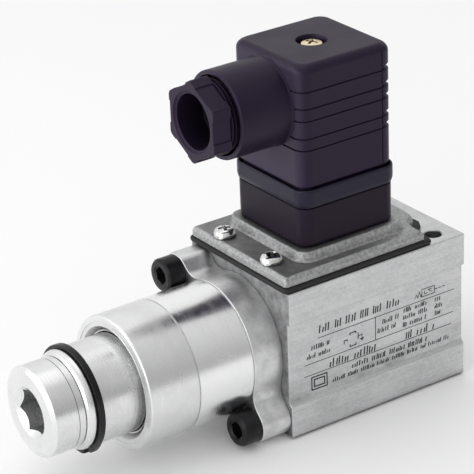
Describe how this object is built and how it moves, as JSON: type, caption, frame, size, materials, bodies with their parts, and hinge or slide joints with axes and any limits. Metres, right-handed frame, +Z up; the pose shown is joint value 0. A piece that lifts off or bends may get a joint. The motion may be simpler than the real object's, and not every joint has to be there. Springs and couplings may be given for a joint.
{
  "type": "pressure switch",
  "caption": "Piston pressure switch: square metal block, flanged spring tube with hex-socket adjusting spindle, and a square plug socket with cable gland on top.",
  "frame": {"origin": "centre of the housing block's bottom face", "axes": "+X runs along the piston axis from the adjusting spindle to the pressure port face, +Z is up towards the cable socket, and -Y is the engraved side"},
  "size_m": [0.1143, 0.0404, 0.0915],
  "materials": {
    "aluminium_block": "brushed, lightly milled, satin",
    "aluminium_turned": "fine turned, bright",
    "cast_plate": "grey cast metal, fine textured",
    "black_oxide": "black oxide, slightly satin",
    "bright_zinc": "bright zinc plated",
    "yellow_zinc": "yellow zinc plated",
    "steel": "ground",
    "spring_steel": "oil tempered",
    "black_plastic": "fine eroded mould texture, purplish black",
    "inner_plastic": "plain moulded",
    "rubber": "matt",
    "seal_rubber": "smooth, bluish black",
    "brass": "plain",
    "tinned": "tinned",
    "lead_black": "insulated wire",
    "lead_green": "insulated wire"
  },
  "bodies": {
    "housing": {"housing_block": "aluminium_block", "spring_housing": "aluminium_turned", "flange_screw_upper": "black_oxide", "flange_screw_lower": "black_oxide", "compression_spring": "spring_steel", "piston_sleeve": "steel", "sleeve_oring": "rubber", "piston_seal": "seal_rubber", "retaining_ring": "black_oxide", "microswitch_case": "inner_plastic", "microswitch_terminal_common": "brass", "microswitch_terminal_nc": "brass", "microswitch_terminal_no": "brass", "microswitch_screw_front": "bright_zinc", "microswitch_screw_rear": "bright_zinc", "connector_gasket": "rubber", "connector_plate": "cast_plate", "plate_screw_front": "bright_zinc", "plate_screw_rear": "bright_zinc", "contact_pin_1": "tinned", "contact_pin_2": "tinned", "contact_pin_3": "tinned", "earth_pin": "tinned", "connector_base": "black_plastic", "profile_gasket": "seal_rubber", "switch_lead_common": "lead_black", "switch_lead_nc": "lead_black", "switch_lead_no": "lead_black", "earth_lead": "lead_green", "earth_screw": "bright_zinc"},
    "spindle_stop": {"snap_ring": "black_oxide", "spring_plate_front": "steel"},
    "spindle": {"adjusting_spindle": "aluminium_turned"},
    "piston_group": {"piston": "steel", "spring_plate_rear": "steel", "actuator_arm": "steel"},
    "switch_button": {"microswitch_button": "inner_plastic"},
    "cable_socket": {"connector_hood": "black_plastic", "terminal_insert": "inner_plastic", "clamp_screw_1": "bright_zinc", "clamp_screw_2": "bright_zinc", "clamp_screw_3": "bright_zinc", "clamp_screw_earth": "bright_zinc", "gland_grommet": "rubber"},
    "socket_screw": {"fixing_screw": "yellow_zinc"},
    "gland_slide": {"gland_washer": "steel"},
    "gland_turn": {"gland_nut": "black_plastic"}
  },
  "joints": [
    {"name": "spindle_travel", "type": "slide", "parent": "housing", "child": "spindle_stop", "axis": [1, 0, 0], "range_m": [-0.0015, 0.009], "deforming": ["compression_spring"]},
    {"name": "spindle_turn", "type": "hinge", "parent": "spindle_stop", "child": "spindle", "pos_m": [-0.073, 0, 0.0199], "axis": [1, 0, 0], "range_deg": [-360.5, 2161]},
    {"name": "piston_stroke", "type": "slide", "parent": "housing", "child": "piston_group", "axis": [-1, 0, 0], "range_m": [0, 0.0012]},
    {"name": "switch_button_travel", "type": "slide", "parent": "housing", "child": "switch_button", "axis": [-1, 0, 0], "range_m": [0, 0.0012]},
    {"name": "socket_unplug", "type": "slide", "parent": "housing", "child": "cable_socket", "axis": [0, 0, 1], "range_m": [0, 0.03]},
    {"name": "fixing_screw_turn", "type": "hinge", "parent": "cable_socket", "child": "socket_screw", "pos_m": [-0.0036, 0, 0.0899], "axis": [0, 0, 1], "continuous": true},
    {"name": "gland_travel", "type": "slide", "parent": "cable_socket", "child": "gland_slide", "axis": [-1, 0, 0], "range_m": [-0.0007, 0.0042]},
    {"name": "gland_nut_turn", "type": "hinge", "parent": "gland_slide", "child": "gland_turn", "pos_m": [-0.033, 0, 0.0796], "axis": [-1, 0, 0], "range_deg": [-180, 1080]}
  ],
  "couplings": [
    {"joint": "spindle_turn", "follows": "spindle_travel", "rad_per_m": 4188.8},
    {"joint": "switch_button_travel", "follows": "piston_stroke", "ratio": 1},
    {"joint": "gland_nut_turn", "follows": "gland_travel", "rad_per_m": 4456.2}
  ]
}
